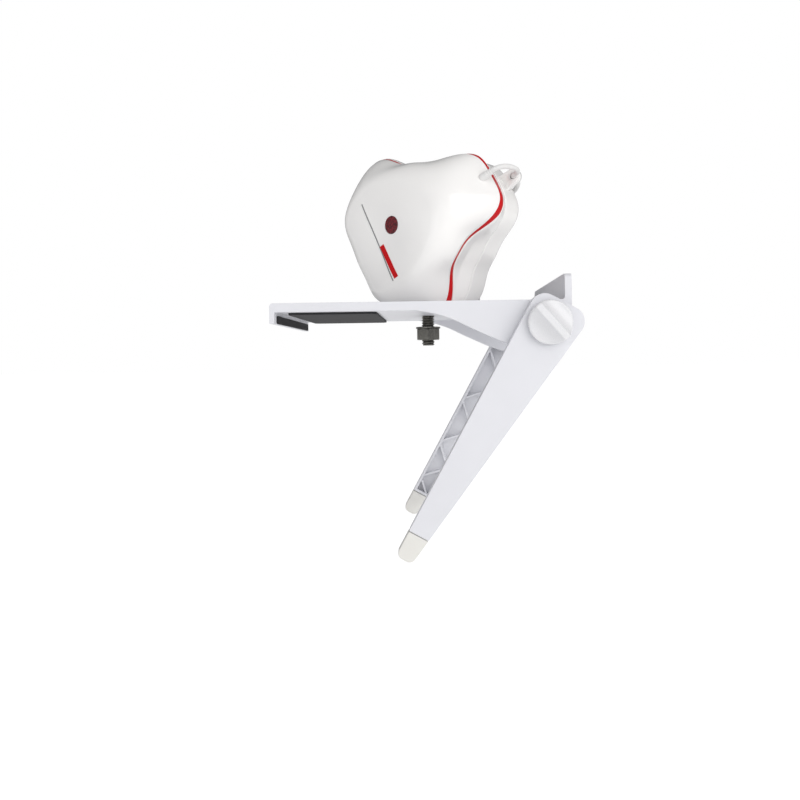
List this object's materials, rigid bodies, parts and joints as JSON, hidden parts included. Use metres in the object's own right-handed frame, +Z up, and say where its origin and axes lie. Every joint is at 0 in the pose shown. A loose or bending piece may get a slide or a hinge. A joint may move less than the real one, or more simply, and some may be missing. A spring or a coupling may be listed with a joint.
{
  "type": "display calibration sensor on folding monitor shelf",
  "caption": "Three-lobed glossy sensor head with red seam band and lens cap, bolted on a folding white monitor-top shelf with a hinged rear leg and clamp knobs.",
  "frame": {"origin": "where the monitor's top front edge sits in the bracket: on the mid-plane, at the lip pad's contact face and the top pad's contact face", "axes": "+X rearward over the monitor, +Y across it, +Z up"},
  "size_m": [0.1377, 0.1168, 0.1871],
  "materials": {
    "bracket_white": "satin moulded ABS, very fine texture",
    "foot_cream": "matte soft rubber",
    "pad_black": "matte rubber",
    "knob_white": "smooth satin-gloss",
    "steel_dark": "dark oxide finish",
    "steel_bright": "zinc plated",
    "washer_black": "nylon",
    "shell_white": "gloss warm white",
    "trim_red": "translucent red, glossy",
    "inner_black": "matt black",
    "foam_black": "soft micro-foam",
    "window_red": "dark red tinted, polished",
    "optic_clear": "coated glass",
    "diffuser_white": "opal",
    "board_green": "solder mask",
    "chip_black": "moulded epoxy",
    "brass": "turned",
    "cable_white": "soft PVC",
    "tongue_white": "moulded"
  },
  "bodies": {
    "bracket": {"shelf_deck": "bracket_white", "monitor_top_pad": "pad_black", "front_lip_pad": "pad_black", "captive_nut_near": "steel_bright", "captive_nut_far": "steel_bright", "friction_washer_near": "washer_black", "friction_washer_far": "washer_black"},
    "leg": {"support_leg": "bracket_white", "foot_pad_near": "foot_cream", "foot_pad_far": "foot_cream"},
    "knob_near": {"clamp_knob_near": "knob_white", "knob_stud_near": "steel_bright"},
    "knob_far": {"clamp_knob_far": "knob_white", "knob_stud_far": "steel_bright"},
    "head": {"front_shell": "shell_white", "rear_shell": "shell_white", "red_trim_band": "trim_red", "screen_pad_ring": "foam_black", "lens_barrel": "inner_black", "objective_lens": "optic_clear", "light_baffle": "inner_black", "sensor_chip": "chip_black", "circuit_board": "board_green", "ambient_sensor": "chip_black", "light_pipe": "optic_clear", "ambient_diffuser": "diffuser_white", "ambient_window": "window_red", "case_screws": "steel_bright", "tripod_bushing": "brass", "mount_stud": "steel_dark", "cable_grommet": "cable_white"},
    "lens_cap": {"cap_shell": "shell_white", "cable_eyelet": "cable_white", "cap_weight": "steel_bright", "cap_liner": "foam_black", "usb_cable": "cable_white", "plug_grip": "cable_white", "plug_shell": "steel_bright", "plug_tongue": "tongue_white"},
    "washer": {"clamp_washer": "steel_dark"},
    "nut": {"clamp_nut": "steel_dark"}
  },
  "joints": [
    {"name": "leg_fold", "type": "hinge", "parent": "bracket", "child": "leg", "pos_m": [0.1195, 0, -0.0055], "axis": [0, 1, 0], "range_deg": [-59, 61]},
    {"name": "knob_near_turn", "type": "hinge", "parent": "bracket", "child": "knob_near", "pos_m": [0.1195, -0.05, -0.0055], "axis": [0, 1, 0], "range_deg": [-180, 0]},
    {"name": "knob_far_turn", "type": "hinge", "parent": "bracket", "child": "knob_far", "pos_m": [0.1195, 0.05, -0.0055], "axis": [0, 1, 0], "range_deg": [0, 180]},
    {"name": "head_swivel", "type": "hinge", "parent": "bracket", "child": "head", "pos_m": [0.067, 0, 0.005], "axis": [0, 0, 1], "range_deg": [-90, 90]},
    {"name": "cap_slide", "type": "slide", "parent": "head", "child": "lens_cap", "axis": [0.4985, 0.8669, 0], "range_m": [0, 0.015], "deforming": ["usb_cable"]},
    {"name": "washer_slide", "type": "slide", "parent": "bracket", "child": "washer", "axis": [0, 0, 1], "range_m": [0, 0.0051]},
    {"name": "nut_turn", "type": "hinge", "parent": "washer", "child": "nut", "pos_m": [0.067, 0, -0.0082], "axis": [0, 0, 1], "range_deg": [0, 1440]}
  ],
  "couplings": [
    {"joint": "washer_slide", "follows": "nut_turn", "m_per_rad": 0.00020213}
  ]
}
